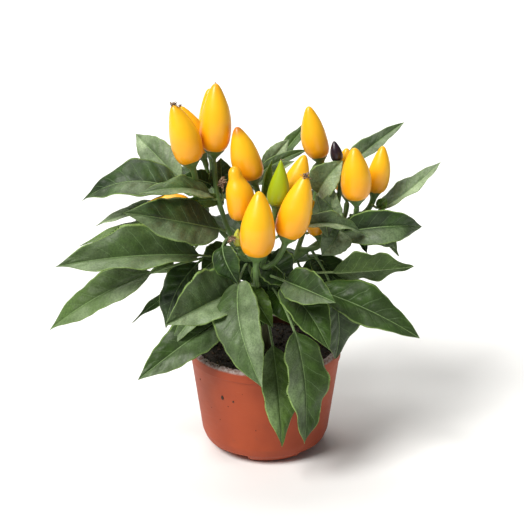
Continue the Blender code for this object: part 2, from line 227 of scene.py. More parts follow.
def leaf_paint():
    paint = Paint("leaf", Specular_IOR_Level=0.25)
    across = paint.attribute("across")
    along = paint.attribute("along")
    under = paint.attribute("under")
    vein = side_veins(paint, across, along)
    rib = paint.step(paint.attribute("rib"), 1.0, 0.3)
    midrib = paint.math("MAXIMUM", rib, paint.step(along, 0.03, 0.0))
    edge = paint.step(paint.math("ABSOLUTE", across), 0.90, 0.975)
    mottle = paint.noise(60.0, 3.0, 0.5)
    grain = paint.noise(800.0, 4.0, 0.7)

    # The upper face: dark green, then yellow-green, a painted sheen in clouds (pale colour standing in for
    # light reflected off the wax), veins, and a painted highlight along the edge.
    # Painted sheen: pale grey-green clouds, as strong as each leaf's sheen value.
    sheen_clouds = paint.step(paint.noise(45.0, 3.0, 0.5), 0.3, 0.7)
    painted_sheen_mask = paint.times(paint.attribute("painted_sheen"), paint.plus(paint.times(sheen_clouds, 0.7), 0.3))
    top = paint.mix(paint.step(mottle, 0.35, 0.68), (0.005, 0.018, 0.002), (0.026, 0.070, 0.006))
    top = paint.mix(paint.attribute("tone"), top, (0.125, 0.23, 0.026))
    top = paint.mix(painted_sheen_mask, top, (0.38, 0.49, 0.28))
    top = paint.mix(paint.times(vein, 0.38), top, (0.16, 0.26, 0.10))
    top = paint.mix(paint.times(midrib, 0.75), top, (0.24, 0.36, 0.14))
    # Painted highlight: a light band along the blade's edge.
    top = paint.mix(paint.times(edge, 0.8), top, (0.30, 0.46, 0.12))

    below = paint.mix(paint.step(mottle, 0.3, 0.7), (0.050, 0.095, 0.020), (0.085, 0.14, 0.035))
    below = paint.mix(paint.times(vein, 0.5), below, (0.20, 0.29, 0.12))
    below = paint.mix(paint.times(midrib, 0.85), below, (0.26, 0.36, 0.15))

    colour = paint.mix(under, top, below)
    colour = paint.mix(paint.step(grain, 0.35, 0.65, 0.0, 0.35), colour, (0.006, 0.014, 0.004))
    relief = paint.plus(paint.noise(420.0, 5.0, 0.6), paint.times(grain, 0.4))
    relief = paint.math("SUBTRACT", relief, paint.times(vein, 0.6))
    paint.bump(relief, 0.5, 0.45 * MM)
    return paint.finish(colour, paint.plus(paint.times(grain, 0.2), paint.step(under, 0.0, 1.0, 0.33, 0.5)))


# light is a pod's main colour; the deeper colour also serves as painted shade towards the calyx.
def pod_paint(name, light, deep_tone_and_shade, tip_colour):
    paint = Paint(name, Coat_Weight=0.1, Coat_Roughness=0.2, Subsurface_Weight=0.05, Specular_IOR_Level=0.4)
    paint.shader.inputs["Subsurface Radius"].default_value = (1.0, 0.55, 0.15)
    paint.shader.inputs["Subsurface Scale"].default_value = 2.0 * MM
    along = paint.attribute("along")
    blush = paint.attribute("blush")
    # Deeper orange in random drifts, and painted shade: more of the deeper colour towards the calyx, the
    # pod's lower end.
    drift = paint.plus(paint.times(paint.noise(45.0, 2.0), 0.5), paint.step(along, 0.75, 0.0, 0.0, 0.5))
    colour = paint.mix(paint.step(drift, 0.2, 0.75), light, deep_tone_and_shade)
    colour = paint.mix(paint.times(paint.step(along, 0.80, 1.0), blush), colour, tip_colour)
    specks = paint.step(paint.noise(900.0, 2.0), 0.72, 0.8)
    colour = paint.mix(paint.times(specks, 0.25), colour, tip_colour)
    paint.bump(paint.noise(260.0, 3.0), 0.10, 0.3 * MM)
    return paint.finish(colour, paint.plus(paint.times(paint.noise(120.0, 3.0), 0.16), 0.26))


def stem_paint():
    paint = Paint("stem")
    high = paint.step(paint.height_of(paint.place), 0.085, 0.15)
    streaks = paint.noise(1.0, 4.0, place=paint.stretched(900.0, 900.0, 160.0))
    green = paint.mix(streaks, (0.055, 0.115, 0.028), (0.13, 0.22, 0.055))
    bark = paint.mix(streaks, (0.07, 0.075, 0.035), (0.17, 0.16, 0.08))
    colour = paint.mix(high, bark, green)
    paint.bump(streaks, 0.4, 0.3 * MM)
    return paint.finish(colour, paint.plus(paint.times(streaks, 0.2), 0.38))


def pot_paint():
    paint = Paint("pot", Specular_IOR_Level=0.3)
    height = paint.height_of(paint.place)
    drift = paint.noise(24.0, 3.0)
    colour = paint.mix(paint.step(drift, 0.3, 0.7), (0.36, 0.062, 0.018), (0.29, 0.046, 0.014))
    scuffs = paint.noise(1.0, 5.0, 0.7, paint.stretched(120.0, 120.0, 600.0))
    colour = paint.mix(paint.step(scuffs, 0.62, 0.80, 0.0, 0.3), colour, (0.45, 0.17, 0.10))
    # Dark patches, more of them towards the ground.
    dark_patches = paint.step(paint.noise(140.0, 5.0, 0.7), 0.60, 0.72)
    dark_patches = paint.times(dark_patches, paint.step(height, 0.02, 0.0, 0.15, 0.7))
    colour = paint.mix(dark_patches, colour, (0.10, 0.045, 0.03))
    # The rim's flat top is painted pale grey: dust and dried splashes, and a painted reflection of the sky
    # on the glossy upward faces.
    normal = paint.node("ShaderNodeNewGeometry").outputs["Normal"]
    top = paint.times(paint.step(paint.height_of(normal), 0.15, 0.45), paint.step(height, 0.070, 0.072))
    dust_and_sheen = paint.step(paint.noise(420.0, 4.0, 0.7), 0.35, 0.65)
    dust_and_sheen = paint.mix(dust_and_sheen, (0.42, 0.39, 0.37), (0.16, 0.10, 0.08))
    colour = paint.mix(paint.times(top, 0.85), colour, dust_and_sheen)
    # Inside, above the soil, the wall is painted dark all round.
    outward = paint.node("ShaderNodeVectorMath", operation="DOT_PRODUCT")
    paint.feed(outward.inputs[0], normal)
    paint.feed(outward.inputs[1], paint.place)
    inside = paint.step(outward.outputs["Value"], -0.01, -0.03)
    inside = paint.times(inside, paint.step(height, 0.05, 0.06))
    colour = paint.mix(paint.times(inside, 0.85), colour, (0.03, 0.018, 0.012))
    paint.bump(paint.noise(500.0, 4.0), 0.12, 0.2 * MM)
    return paint.finish(colour, paint.plus(paint.times(scuffs, 0.25), 0.45))


def soil_paint():
    paint = Paint("potting_soil", Roughness=0.95)
    tone = paint.attribute("tone")
    grain = paint.noise(600.0, 5.0, 0.7)
    colour = paint.mix(paint.step(grain, 0.35, 0.65), (0.006, 0.005, 0.004), (0.035, 0.024, 0.016))
    bark = paint.mix(grain, (0.055, 0.030, 0.017), (0.16, 0.10, 0.06))
    colour = paint.mix(tone, colour, bark)
    paint.bump(paint.noise(1500.0, 5.0, 0.7), 0.8, 0.5 * MM)
    return paint.finish(colour)


def withered_paint():
    paint = Paint("withered_flower", Roughness=0.8)
    grain = paint.noise(900.0, 4.0, 0.7)
    colour = paint.mix(paint.step(grain, 0.3, 0.7), (0.10, 0.040, 0.022), (0.46, 0.33, 0.22))
    paint.bump(grain, 0.6, 0.4 * MM)
    return paint.finish(colour)


def floor_paint():
    paint = Paint("floor", Roughness=0.75)
    grain = paint.noise(9.0, 2.0)
    return paint.finish(paint.mix(grain, (0.86, 0.86, 0.86), (0.90, 0.90, 0.90)))


# Mesh helpers


def new_object(name, points, faces, material, attributes=None):
    mesh = bpy.data.meshes.new(name)
    mesh.from_pydata([tuple(p) for p in points], [], faces)
    for key, values in (attributes or {}).items():
        layer = mesh.attributes.new(key, "FLOAT", "POINT")
        layer.data.foreach_set("value", np.asarray(values, np.float32))
    mesh.materials.append(material)
    mesh.shade_smooth()
    obj = bpy.data.objects.new(name, mesh)
    bpy.context.scene.collection.objects.link(obj)
    return obj


def apply_modifiers(obj):
    graph = bpy.context.evaluated_depsgraph_get()
    mesh = bpy.data.meshes.new_from_object(obj.evaluated_get(graph))
    obj.modifiers.clear()
    obj.data = mesh
    mesh.shade_smooth()
    return mesh


def part_of_plant(piece, slot, *nodes):
    """The piece rides with the plant and stands for the CAD nodes, which it hides. The slot is not used."""
    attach(piece, "root")
    if nodes:
        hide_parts(*nodes)


def ring_faces(rows, sides, first=0):
    """Quads between rows of a closed tube."""
    faces = []
    for i in range(rows - 1):
        for j in range(sides):
            k = (j + 1) % sides
            a, b = first + i * sides, first + (i + 1) * sides
            faces.append((a + j, a + k, b + k, b + j))
    return faces


def capped_faces(rows, sides, first=0):
    """Faces of a closed tube with a flat face over each end."""
    last = first + (rows - 1) * sides
    caps = [tuple(range(first, first + sides))[::-1], tuple(range(last, last + sides))]
    return ring_faces(rows, sides, first) + caps


def pointed_faces(rows, sides):
    """Faces of a closed tube that starts flat and ends in the one point that follows its rows."""
    last = (rows - 1) * sides
    fan = [(last + j, last + (j + 1) % sides, rows * sides) for j in range(sides)]
    return ring_faces(rows, sides) + fan + [tuple(range(sides))[::-1]]


def on_circle(radius, angle):
    return radius * math.cos(angle), radius * math.sin(angle)


def around(radius, sides):
    """(x, y) of points evenly round a circle."""
    return [on_circle(radius, math.tau * j / sides) for j in range(sides)]


def spline(points, shares):
    """Points on a smooth curve through the given ones, at shares from 0 to 1."""
    p = np.asarray(points, float)
    p = np.vstack([2 * p[0] - p[1], p, 2 * p[-1] - p[-2]])
    x = np.clip(np.asarray(shares, float), 0, 1) * (len(p) - 3)
    i = np.minimum(x.astype(int), len(p) - 4)
    t = (x - i)[:, None]
    a, b, c, d = p[i], p[i + 1], p[i + 2], p[i + 3]
    return 0.5 * (2 * b + (c - a) * t + (2 * a - 5 * b + 4 * c - d) * t**2 + (3 * b - a - 3 * c + d) * t**3)


def unit(vectors):
    return vectors / np.linalg.norm(vectors, axis=-1, keepdims=True)


def square_to(vectors, directions):
    """The vectors, turned to stand square to the unit directions."""
    return unit(vectors - directions * (vectors * directions).sum(-1, keepdims=True))


def eased(value, low, high):
    """0 below low, 1 above high, and a smooth step between."""
    t = np.clip((value - low) / (high - low), 0, 1)
    return t * t * (3 - 2 * t)


def seed_of(name):
    return sum((i + 7) * ord(c) for i, c in enumerate(name))


# Reading the lofts of the frame


def welded(node):
    """The points and faces of a CAD node, with its doubled corners joined."""
    mesh = NODES[node].data
    index, points, faces = {}, [], []
    for polygon in mesh.polygons:
        face = []
        for v in polygon.vertices:
            key = tuple(round(c * 1e6) for c in mesh.vertices[v].co)
            if key not in index:
                index[key] = len(points)
                points.append(mesh.vertices[v].co.copy())
            face.append(index[key])
        faces.append(face)
    return points, faces


def levels_from(start, near):
    """The points in steps away from a start point."""
    seen, levels = {start}, [[start]]
    while levels[-1]:
        ahead = sorted({q for p in levels[-1] for q in near[p]} - seen)
        seen.update(ahead)
        levels.append(ahead)
    return levels[:-1]


def loft_rings(node, sides):
    """(tip, rings) of a loft that ends in a point: rings from the far end to the tip, in step round it."""
    points, faces = welded(node)
    near = [set() for _ in points]
    for face in faces:
        for i, v in enumerate(face):
            near[v].update((face[i - 1], face[(i + 1) % len(face)]))
    for start in range(len(points)):
        levels = levels_from(start, near)
        if all(len(level) == sides for level in levels[1:]):
            break
    rings = [in_order(level, near) for level in levels[1:-1]]
    rings = [np.array([points[v] for v in ring]) for ring in rings]
    for i in range(1, len(rings)):
        rings[i] = in_step(rings[i], rings[i - 1])
    rings.append(nearest_match(np.array([points[v] for v in levels[-1]]), rings[-1]))
    return np.array(points[start]), rings[::-1]


def in_order(level, near):
    ring = [level[0]]
    while len(ring) < len(level):
        ring.append(next(v for v in level if v in near[ring[-1]] and v not in ring))
    return ring


def in_step(ring, guide):
    """The ring turned, and reversed if need be, so that its points follow the guide's."""
    shift = guide.mean(0) - ring.mean(0)
    choices = [np.roll(way, k, 0) for way in (ring, ring[::-1]) for k in range(len(ring))]
    return min(choices, key=lambda c: ((c + shift - guide) ** 2).sum())


def nearest_match(ring, guide):
    """The ring's points in the guide's order, each the nearest left over."""
    left = list(ring + guide.mean(0) - ring.mean(0))
    back = ring.mean(0) - guide.mean(0)
    found = []
    for point in guide:
        k = min(range(len(left)), key=lambda n: ((left[n] - point) ** 2).sum())
        found.append(left.pop(k) + back)
    return np.array(found)


# Leaves

BLADE_ROWS = 58
STALK_ROWS = 9
TOP_COLUMNS = 27
SPINE_SAMPLES = 300
LAST_ROW = 0.996
USUAL_WIDTH = 30 * MM
PETIOLE_RADIUS = 0.85 * MM
BLADE_THICKNESS = 0.32 * MM
WAVE_HEIGHT = 1.7 * MM
QUILT_HEIGHT = 0.75 * MM
SWELL_HEIGHT = 1.1 * MM
GROOVE_DEPTH, GROOVE_HALF = 0.35 * MM, 0.8 * MM
RIDGE_DEPTH, RIDGE_HALF = 0.95 * MM, 0.75 * MM
MIDRIB_HALF = 0.62 * MM


def leaf_columns():
    """Round a leaf's section, over the top and back underneath: place across, and 1 on the top."""
    spaced = np.linspace(1, -1, TOP_COLUMNS)
    spaced = np.sign(spaced) * np.abs(spaced) ** 1.25
    across = np.concatenate([spaced, spaced[::-1][1:-1]])
    is_top = np.concatenate([np.ones(TOP_COLUMNS), np.zeros(TOP_COLUMNS - 2)])
    return across[None, :], is_top[None, :]


ACROSS, IS_TOP = leaf_columns()
REACH = np.abs(ACROSS)


def by_side(first, second):
    """One value for the half of a leaf where ACROSS is above 0, and another for the rest."""
    return np.where(ACROSS > 0, first, second)


def blade_half_width(place):
    """Half the width of a blade from its base to its tip, as a share of the widest."""
    rise, fall = 0.80, 1.15
    peak = rise / (rise + fall)
    return (place / peak) ** rise * ((1 - place) / (1 - peak)) ** fall


def leaf_run(spine, ups, petiole, roll, rng):
    """Each row's centre, its ways up and aside, its place on the blade (below 0 on the petiole), and the
    petiole's share of the whole length."""
    fine = np.linspace(0, 1, SPINE_SAMPLES)
    steps = np.linalg.norm(np.diff(spline(spine, fine), axis=0), axis=1)
    run = np.concatenate([[0], np.cumsum(steps)])
    run /= run[-1]
    stalk = petiole / steps.sum()
    on_blade = stalk + (1 - stalk) * np.linspace(0, LAST_ROW, BLADE_ROWS)
    shares = np.concatenate([np.linspace(0, stalk, STALK_ROWS)[:-1], on_blade])
    at = np.interp(shares, run, fine)
    centre = spline(spine, at)
    along = unit(np.gradient(centre, axis=0))
    up = square_to(spline(ups, at), along)
    place = (shares - stalk) / (1 - stalk)
    # The blade turns a little on its midrib towards the tip.
    twist = math.radians(roll) + math.radians(rng.uniform(-14, 14)) * np.clip(place, 0, 1) ** 1.5
    up = up * np.cos(twist)[:, None] + np.cross(up, along) * np.sin(twist)[:, None]
    return centre, up, np.cross(up, along), place[:, None], stalk


def blade_halves(blade, width, rng):
    """The blade's width on either side of its midrib, with a faint ripple at the edge."""
    half = width / 2 * blade_half_width(blade) * by_side(rng.uniform(0.95, 1.04), rng.uniform(0.95, 1.04))
    ripple = 0.022 * np.sin(blade * rng.uniform(38, 52) + by_side(0.0, 2.1))
    return half * (1 + ripple * REACH**4)


def blade_lift(blade, half, width, fold, wave, rng):
    """How far the blade stands above its midrib: folded up, drooping at its edge, wavy and quilted."""
    size = width / USUAL_WIDTH
    droop = rng.uniform(0.16, 0.26)
    flat = 1 - 0.55 * blade**2
    lift = half * (1.25 * fold * flat * REACH - droop * REACH**2.4)
    waves, phase = rng.uniform(2.0, 3.2), rng.uniform(0, math.tau)
    offset = rng.uniform(0, 90)
    swing = by_side(0.0, rng.uniform(1.2, 2.6))
    fade = np.sqrt(np.clip(np.sin(math.pi * blade), 0, 1))
    waving = np.sin(math.tau * waves * blade + phase + swing) * fade
    lift = lift + wave * WAVE_HEIGHT * size * REACH**2.5 * waving
    # Quilted between the side veins of the paint.
    turns = VEIN_PAIRS * (blade - VEIN_SLANT * REACH**VEIN_BEND) + by_side(VEIN_LAG, 0.0)
    quilt = np.abs(np.sin(math.pi * turns)) ** 0.8
    body = eased(half, 1 * MM, 7 * MM) * eased(REACH, 0.03, 0.22) * (1 - REACH**4)
    lift = lift + QUILT_HEIGHT * size * (quilt - 0.6) * body
    swell = [[swell_at(a, b, offset) for b in ACROSS[0]] for a in blade[:, 0]]
    return lift + SWELL_HEIGHT * size * np.array(swell) * body


def swell_at(along, across, offset):
    return noise.fractal(Vector((along * 5.0, across * 1.4, offset)), 1.0, 2.0, 3)


def blade_section(blade, half, lift):
    """x across and z up of the blade's points, with a groove over the midrib and a ridge under it."""
    x = half * ACROSS
    upper = lift - GROOVE_DEPTH * np.exp(-((x / GROOVE_HALF) ** 2)) * eased(blade, 0.0, 0.1)
    ridge = RIDGE_DEPTH * (1 - blade) ** 0.6 * np.exp(-((x / RIDGE_HALF) ** 2))
    lower = upper - BLADE_THICKNESS * (1 - 0.5 * REACH) * (REACH < 0.999) - ridge
    return x, np.where(IS_TOP > 0, upper, lower)


def with_petiole(x, z, place, stalk):
    """The section drawn in to a rod along the petiole, which opens out into the blade."""
    half_turn = np.linspace(0, math.pi, TOP_COLUMNS)
    turn = np.concatenate([half_turn, math.pi + half_turn[1:-1]])
    to_stem = np.clip(-place * (1 - stalk) / stalk, 0, 1)
    rod = PETIOLE_RADIUS * (1 + 0.35 * to_stem**3)
    opened = eased(place, 0.0, 0.07)
    x = x * opened + rod * np.cos(turn) * (1 - opened)
    z = z * opened + rod * np.sin(turn) * 0.9 * (1 - opened)
    return x, z


def leaf_object(name, spine, ups, petiole, width, material, look):
    """A leaf along a spine from the stem to the tip, with its upper face towards ups."""
    tone, painted_sheen, fold, wave, roll = look
    rng = random.Random(seed_of(name))
    centre, up, side, place, stalk = leaf_run(spine, ups, petiole, roll, rng)
    blade = np.clip(place, 0, 1)
    half = blade_halves(blade, width, rng)
    lift = blade_lift(blade, half, width, fold, wave, rng)
    x, z = with_petiole(*blade_section(blade, half, lift), place, stalk)
    points = centre[:, None, :] + side[:, None, :] * x[..., None] + up[:, None, :] * z[..., None]
    points = np.vstack([points.reshape(-1, 3), spline(spine, [1.0])])
    # Painted sheen: pale colour standing in for light reflected off the blade, stronger on the half that
    # lies towards the plant's front.
    front = eased(-np.sign(side[:, 1].mean()) * ACROSS, -0.05, 0.25)
    painted_blade_sheen = np.clip(painted_sheen * (0.6 + 0.8 * front) + 0.16 * front * (painted_sheen > 0.1), 0, 1)
    # What the paint reads: its values over the rows, and its value at the tip.
    layers = {
        "rib": (np.abs(x) / (MIDRIB_HALF * (1 - 0.6 * blade)), 0.0),
        "painted_sheen": (painted_blade_sheen, painted_sheen),
        "across": (ACROSS, 0.0),
        "along": (place, 1.0),
        "under": (1 - IS_TOP, 0.0),
        "tone": (tone, tone),
    }
    attributes = {}
    for key, (values, at_tip) in layers.items():
        attributes[key] = np.append(np.broadcast_to(values, x.shape), at_tip)
    return new_object(name, points, pointed_faces(*x.shape), material, attributes)


LOFT_SIDES = 6
SPINE_DEPTH = 0.5 * MM
ROOT_DEPTH = 0.9 * MM
SMALL_PETIOLE = 0.8 * MM


def frame_leaf(node):
    """(spine, ups, petiole, width) of a CAD leaf. A ring runs from one edge by the keel to the other edge,
    and back over the top by its middle."""
    tip, rings = loft_rings(node, LOFT_SIDES)
    spread = [max(span(ring, i) for i in range(LOFT_SIDES)) for ring in rings]
    widest = rings[int(np.argmax(spread))]
    edge = max(range(LOFT_SIDES), key=lambda i: span(widest, i))
    keel, other, middle = ((edge + i) % LOFT_SIDES for i in (1, 2, 4))
    spine, ups = [], []
    centres = np.array([ring[middle] for ring in rings] + [tip])
    alongs = unit(np.gradient(centres, axis=0))
    for ring, along in zip(rings, alongs):
        up = np.cross(ring[edge] - ring[other], along)
        up = unit(up * np.sign(up @ (ring[middle] - ring[keel])))
        spine.append(ring[middle] - up * SPINE_DEPTH)
        ups.append(up)
    spine.append(tip)
    ups.append(ups[-1])
    petiole = np.linalg.norm(spine[2] - spine[1]) + np.linalg.norm(spine[1] - spine[0])
    return spine, ups, petiole, max(spread)


def span(ring, i):
    """The distance from a ring's point to the next but one."""
    return np.linalg.norm(ring[i] - ring[(i + 2) % LOFT_SIDES])


def rooted(spine, ups, stem_tree):
    """The spine with a first point inside the stem, where the leaf grows from it."""
    foot, normal, _, _ = stem_tree.find_nearest(Vector(spine[0]))
    inside = np.array(foot - normal * ROOT_DEPTH)
    gap = np.linalg.norm(inside - spine[0])
    return [inside] + list(spine), [ups[0]] + list(ups), gap


# By a leaf's name after leaf_: how yellow-green it is, how much painted sheen it has (pale colour standing
# in for light off its wax), how far it folds up along its midrib, how wavy its edge is, and degrees that it
# rolls about its midrib.
LEAF_LOOKS = {
    "left_upper": (0.0, 0.12, 0.3, 0.5, 0),
    "left_high": (0.15, 0.45, 0.4, 1.0, -20),
    "left_mid": (0.0, 0.22, 0.38, 1.0, 0),
    "left_long": (0.18, 0.25, 0.7, 1.1, 0),
    "left_low": (0.35, 0.35, 0.4, 1.0, 0),
    "left_back": (0.05, 1.0, 0.35, 0.8, 0),
    "left_rear": (0.05, 1.0, 0.5, 0.8, 0),
    "left_inner": (0.6, 0.4, 0.45, 0.8, 0),
    "left_small": (0.1, 0.05, 0.3, 2.0, 0),
    "left_hanging": (0.0, 0.05, 0.4, 1.0, 0),
    "front_left": (0.08, 0.45, 0.95, 1.2, 0),
    "front": (0.12, 0.35, 0.35, 1.0, 0),
    "front_left_low": (0.12, 0.18, 0.4, 1.1, 0),
    "front_low": (0.45, 0.12, 0.3, 1.4, 0),
    "front_low_right": (0.15, 0.14, 0.3, 1.5, 0),
    "front_right": (0.05, 0.12, 0.55, 1.0, 0),
    "front_right_low": (0.15, 0.05, 0.45, 1.0, 0),
    "right_long": (0.1, 0.08, 0.45, 1.1, 0),
    "right_mid": (0.6, 0.2, 0.35, 1.3, 0),
    "right_upper": (0.0, 0.15, 0.6, 1.0, 0),
    "right_high": (0.05, 0.8, 0.45, 0.8, 0),
    "right_back": (0.02, 0.4, 0.45, 1.0, 0),
    "right_small": (0.05, 0.45, 0.4, 0.8, 0),
    "right_inner": (0.02, 0.85, 0.5, 1.0, 0),
    "right_hanging": (0.05, 0.1, 0.35, 1.0, 0),
    "centre_right": (0.1, 0.95, 0.5, 1.0, 0),
    "centre_level": (0.03, 0.75, 0.6, 1.2, 0),
    "centre_hanging": (0.0, 0.06, 0.3, 1.0, 0),
    "crown_right": (0.15, 1.0, 0.3, 0.8, 0),
    "crown_back": (0.25, 0.1, 0.45, 1.0, 0),
    "crown_upright": (0.8, 0.05, 0.8, 0.6, 0),
    "crown_left": (0.0, 0.1, 0.5, 1.0, 0),
}
PLAIN_LOOK = (0.05, 0.15, 0.4, 1.0, 0)

# Small leaves that fill the plant's heart: base, tip, width and arch in millimetres, the way the upper
# face looks, how yellow-green it is, and how much painted sheen it has (pale colour standing in for light
# off its wax).
SMALL_LEAVES = {
    "young_left_fold": ((-25, -28, 131), (-66, -45, 89), 13, 4, (-0.5, -1, 0.6), 0.1, 0.8),
    "centre_dark": ((-3, -12, 150), (-6, -8, 118), 30, 3, (0, -1, 0.3), 0, 0),
    "olive_blade": ((-13, -22, 125), (5, -46, 106), 17, 4, (0.2, -1, 0.3), 0.5, 0),
    "dark_hanging": ((4, -10, 122), (20, -34, 102), 24, 6, (0.1, -1, 0.4), 0.1, 0),
    "dark_hanging_low": ((0, -6, 117), (-2, -30, 100), 22, 5, (-0.2, -1, 0.4), 0.1, 0),
    "left_olive": ((-22, -14, 150), (-43, -26, 138), 20, 3, (-0.2, -1, 0.7), 0.2, 0),
    "centre_mass": ((-1, -14, 143), (17, -20, 128), 26, 5, (0.3, -1, 0.5), 0.05, 0),
    "centre_mass_low": ((3, -12, 140), (2, -16, 119), 24, 5, (-0.1, -1, 0.4), 0.05, 0),
    "upper_dark_left": ((-35, 0, 190), (-56, -6, 199), 14, 2, (0, -0.8, 0.8), 0, 0),
    "upper_olive": ((-28, -2, 181), (-54, -14, 184), 10, 2, (0.1, -1, 0.2), 0.5, 0.1),
    "crown_low": ((-8, 41, 182), (30, 50, 200), 10, 4, (0, -0.7, 1), 0.2, 0.1),
    "crown_mid": ((-6, 38, 178), (20, 24, 200), 10, 2, (0, -0.8, 0.8), 0, 0.6),
    "crown_side": ((34, 21, 180), (39, 32, 200), 14, 2, (0.2, -1, 0.5), 0, 0.5),
    "cross_tip": ((40, -4, 166), (42, -18, 159), 10, 2, (0, -1, 0.3), 0, 0.8),
    "grey_upright": ((42, 3, 158), (46, -2, 188), 20, 2, (-0.2, -1, 0.1), 0, 0.65),
    "grey_upright_left": ((40, 2, 158), (34, -5, 185), 16, 2, (0.3, -1, 0.1), 0, 0.5),
    "right_dark": ((58, 12, 165), (81, 4, 156), 12, 3, (0.2, -0.4, 1), 0.3, 0.3),
    "right_hang": ((68, 10, 158), (69, -2, 142), 9, 3, (-0.6, -1, 0.2), 0, 0.1),
    "right_lower_dark": ((24, 0, 131), (47, -6, 125), 16, 3, (0, -0.8, 0.8), 0.05, 0),
    "right_low_grey": ((30, 2, 138), (66, -2, 100), 24, 6, (0.6, -1, 0.5), 0.05, 0.05),
    "right_thin": ((68, 26, 140), (92, 38, 131), 9, 3, (0.1, -0.6, 1), 0.1, 0.7),
    "left_bit": ((-61, 20, 123), (-82, 10, 122), 9, 3, (0, -0.7, 0.9), 0.4, 0.3),
    "right_sprig": ((76, 12, 170), (83, 14, 176), 8, 1, (0.2, -1, 0.4), 0.7, 0),
}


def make_leaves(material, stem_tree):
    for node in sorted(NODES):
        if not node.startswith("leaf_"):
            continue
        spine, ups, petiole, width = frame_leaf(node)
        spine, ups, gap = rooted(spine, ups, stem_tree)
        look = LEAF_LOOKS.get(node.removeprefix("leaf_"), PLAIN_LOOK)
        piece = leaf_object(f"{node}_blade", spine, ups, petiole + gap, width, material, look)
        part_of_plant(piece, "leaf", node)
    for name, (base, tip, width, arch, face, tone, painted_sheen) in SMALL_LEAVES.items():
        spine, ups = small_spine(np.array(base) * MM, np.array(tip) * MM, arch * MM, np.array(face, float))
        spine, ups, gap = rooted(spine, ups, stem_tree)
        look = (tone, painted_sheen, *PLAIN_LOOK[2:])
        petiole = gap + SMALL_PETIOLE
        piece = leaf_object(f"small_leaf_{name}", spine, ups, petiole, width * MM, material, look)
        part_of_plant(piece, "leaf")


def small_spine(base, tip, arch, face):
    """Points from a small leaf's base to its tip, bowed towards its upper face."""
    chord = tip - base
    bulge = unit(face - chord * (face @ chord) / (chord @ chord))
    t = np.linspace(0, 1, 7)[:, None]
    spine = base + chord * t + bulge * arch * 4 * t * (1 - t)
    along = unit(np.gradient(spine, axis=0))
    ups = square_to(np.broadcast_to(face, spine.shape), along)
    return list(spine), list(ups)


# Pods

# Pod outlines: share of the length from the stalk, and share of the widest radius.
POD_SHAPE = (
    (0.0, 0.40), (0.02, 0.60), (0.06, 0.78), (0.15, 0.93), (0.30, 1.0), (0.48, 0.94),
    (0.66, 0.77), (0.80, 0.56), (0.90, 0.38), (0.96, 0.24), (0.99, 0.12), (1.0, 0.0),
)
NECKED_SHAPE = (
    (0.0, 0.42), (0.02, 0.62), (0.07, 0.82), (0.18, 0.96), (0.32, 1.0), (0.48, 0.97), (0.60, 0.86),
    (0.70, 0.66), (0.77, 0.50), (0.84, 0.48), (0.91, 0.42), (0.96, 0.30), (0.99, 0.14), (1.0, 0.0),
)
TAPERED_SHAPE = (
    (0.0, 0.40), (0.02, 0.62), (0.06, 0.82), (0.15, 0.97), (0.26, 1.0), (0.40, 0.92),
    (0.55, 0.76), (0.70, 0.55), (0.83, 0.34), (0.93, 0.19), (0.98, 0.09), (1.0, 0.0),
)
SHAPE_OF = {"pod_centre_left": NECKED_SHAPE, "pod_green": TAPERED_SHAPE}
SLOT_OF = {row["node"]: row["material_slot"] for row in frame["record"]["subparts"]}
POD_BLUSH = {"pod_centre_rear": 0.9, "pod_left_tall": 0.3}
PLAIN_BLUSH = 0.15
POD_LOFT_SIDES = 10
POD_SIDES = 40
POD_ROWS = 56
POD_ANGLES = np.linspace(0, math.tau, POD_SIDES, endpoint=False)
POD_BOW = 0.9 * MM
SOFTENING = (0.1, 0.2, 0.4, 0.2, 0.1)

# The calyx: height as a share of the cup's depth, and radius as a share of the mouth's.
CALYX_PROFILE = (
    (-1.0, 0.36), (-0.8, 0.42), (-0.45, 0.62), (-0.12, 0.84), (0.12, 0.95), (0.30, 1.0), (0.34, 1.02),
)
CALYX_DEPTH = 4.3 * MM
CALYX_TEETH = 5
TOOTH_HEIGHT = 0.9 * MM


def pod_frame(node):
    """(base, tip, widest radius) of a CAD pod."""
    tip, rings = loft_rings(node, POD_LOFT_SIDES)
    centres = [r.mean(0) for r in rings]
    radii = [np.linalg.norm(r - c, axis=1).mean() for r, c in zip(rings, centres)]
    return centres[0], tip, max(radii)


def frame_of(direction):
    """Two unit vectors square to a direction and to each other."""
    direction = Vector(direction).normalized()
    first = direction.cross(Vector((0.3, 0.9, 0.1))).normalized()
    return np.array(first), np.array(direction.cross(first))


def ways_round(axis):
    """Unit vectors round an axis, one for each side of a pod."""
    x, y = frame_of(axis)
    return x * np.cos(POD_ANGLES)[:, None] + y * np.sin(POD_ANGLES)[:, None]


